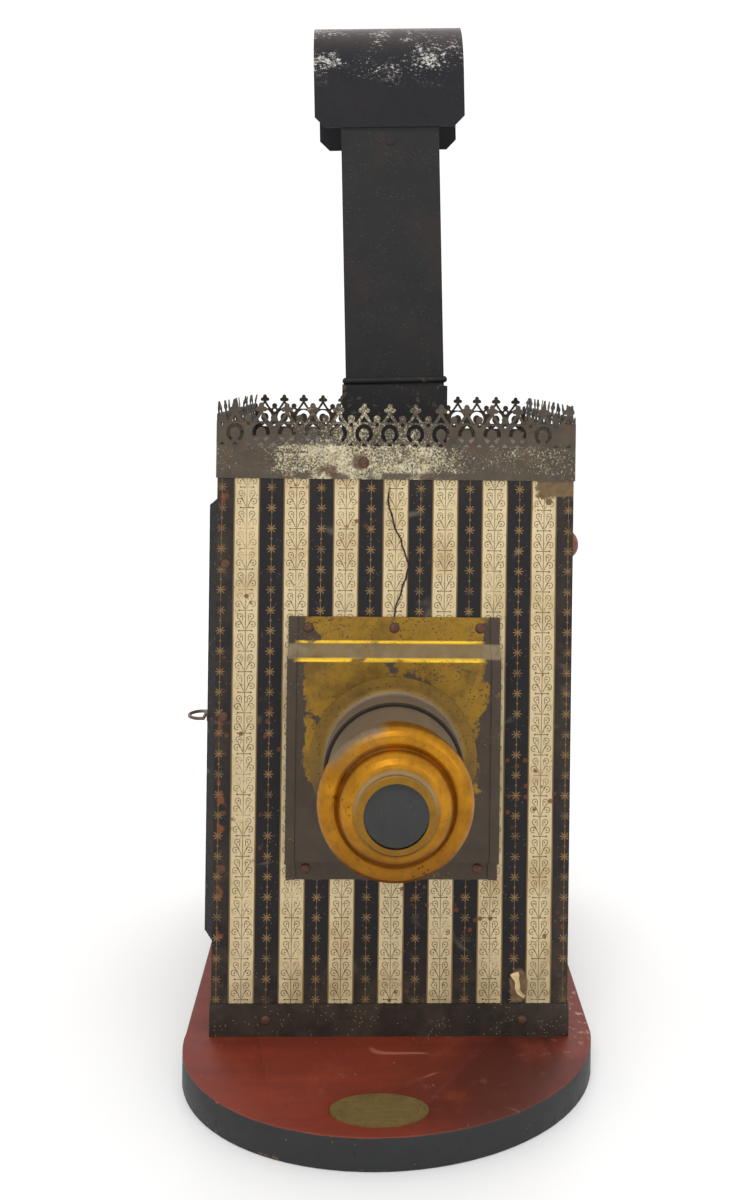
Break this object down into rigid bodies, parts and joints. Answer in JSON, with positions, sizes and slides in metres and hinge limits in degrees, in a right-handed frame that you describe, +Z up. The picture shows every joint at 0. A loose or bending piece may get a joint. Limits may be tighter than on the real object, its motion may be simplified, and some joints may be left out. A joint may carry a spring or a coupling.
{
  "type": "magic lantern",
  "caption": "Upright slide lantern with a papered tin lamp house, a lens on a draw tube, a slide stage, a side door, an oil lamp and a lift-off chimney on a round-fronted board.",
  "frame": {"origin": "centre of the body on the underside of the board, the face that stands on a table", "axes": "+Z up along the chimney, -Y forward along the lens axis, +X to the right of someone who faces the lens"},
  "size_m": [0.1891, 0.2514, 0.5032],
  "materials": {
    "board_paint": "worn red-brown paint on top, black painted edge",
    "plate_brass": "dull, tarnished",
    "inner_tin": "dull, sooty tinplate",
    "steel": "worn steel wire and screws",
    "patterned_paper": "striped paper, cream scrolls and black stripes with stars",
    "band_tin": "dark oxidised tinplate",
    "rusty_steel": "rusty rivet heads",
    "gallery_tin": "patinated bright tinplate",
    "black_japan": "black japanned sheet, worn in places",
    "stage_brass": "worn brass lacquer on dark tin",
    "dull_brass": "unpolished, grey brown",
    "lacquered_brass": "golden lacquer, polished by handling",
    "lens_glass": "clear optical glass with a little dust",
    "lamp_tin": "dull tinplate",
    "lamp_brass": "aged brass",
    "wick_cotton": "woven cotton, charred at the top",
    "chimney_glass": "clear blown glass",
    "reflector_tin": "silvered tin, slightly clouded"
  },
  "bodies": {
    "lamphouse": {"base_board": "board_paint", "oval_plate": "plate_brass", "plate_pins": "plate_brass", "floor_pan": "inner_tin", "floor_screws": "steel", "lamp_seat": "inner_tin", "front_panel": "inner_tin", "back_panel": "inner_tin", "right_panel": "inner_tin", "left_panel": "inner_tin", "front_paper": "patterned_paper", "back_paper": "patterned_paper", "right_paper": "patterned_paper", "left_paper": "patterned_paper", "foot_band": "band_tin", "foot_band_rivets": "rusty_steel", "edge_rivets": "rusty_steel", "side_vent_cap": "rusty_steel", "gallery_front": "gallery_tin", "gallery_back": "gallery_tin", "gallery_right": "gallery_tin", "gallery_left": "gallery_tin", "gallery_rivets": "rusty_steel", "roof_plate": "inner_tin", "chimney_socket": "black_japan", "slide_stage": "stage_brass", "stage_rivets": "rusty_steel", "lens_collar": "dull_brass", "condenser_cell": "inner_tin", "condenser_lens": "lens_glass", "condenser_ring": "steel", "wall_hinge_leaves": "band_tin", "hinge_pins": "steel", "oil_font": "lamp_tin", "burner": "lamp_brass", "reflector": "reflector_tin", "reflector_bracket": "lamp_tin"},
    "objective": {"draw_tube": "dull_brass", "lens_bell": "lacquered_brass", "front_lens": "lens_glass", "front_lens_ring": "lacquered_brass", "rear_lens": "lens_glass", "rear_lens_ring": "dull_brass"},
    "door": {"door_pan": "black_japan", "door_paper": "patterned_paper", "door_hinge_leaves": "band_tin", "latch_washer": "steel"},
    "latch": {"door_latch": "steel"},
    "chimney": {"chimney_duct": "black_japan", "duct_stay": "black_japan", "chimney_cowl": "black_japan", "cowl_rivets": "black_japan"},
    "font_cap": {"filler_cap": "lamp_brass"},
    "lamp_wick": {"wick": "wick_cotton"},
    "wick_wheel": {"wick_shaft": "lamp_brass"},
    "glass_chimney": {"lamp_glass": "chimney_glass"}
  },
  "joints": [
    {"name": "focus_slide", "type": "slide", "parent": "lamphouse", "child": "objective", "axis": [0, -1, 0], "range_m": [-0.003, 0.008]},
    {"name": "door_swing", "type": "hinge", "parent": "lamphouse", "child": "door", "pos_m": [-0.0846, 0.0636, 0.1585], "axis": [0, 0, -1], "range_deg": [0, 110]},
    {"name": "latch_turn", "type": "hinge", "parent": "door", "child": "latch", "pos_m": [-0.0875, -0.075, 0.1585], "axis": [1, 0, 0], "range_deg": [0, 90]},
    {"name": "chimney_lift", "type": "slide", "parent": "lamphouse", "child": "chimney", "axis": [-0.0314, 0, 0.9995], "range_m": [0, 0.03]},
    {"name": "wick_turn", "type": "hinge", "parent": "lamphouse", "child": "wick_wheel", "pos_m": [0, 0.0043, 0.08175], "axis": [-1, 0, 0], "range_deg": [-90, 90]},
    {"name": "wick_raise", "type": "slide", "parent": "lamphouse", "child": "lamp_wick", "axis": [0, 0, 1], "range_m": [-0.0047, 0.0047]},
    {"name": "glass_lift", "type": "slide", "parent": "lamphouse", "child": "glass_chimney", "axis": [0, 0, 1], "range_m": [0, 0.03]},
    {"name": "filler_cap_turn", "type": "hinge", "parent": "lamphouse", "child": "font_cap", "pos_m": [0.0233, 0, 0.0667], "axis": [0, 0, 1], "continuous": true}
  ],
  "couplings": [
    {"joint": "wick_turn", "follows": "wick_raise", "rad_per_m": 333.33}
  ]
}
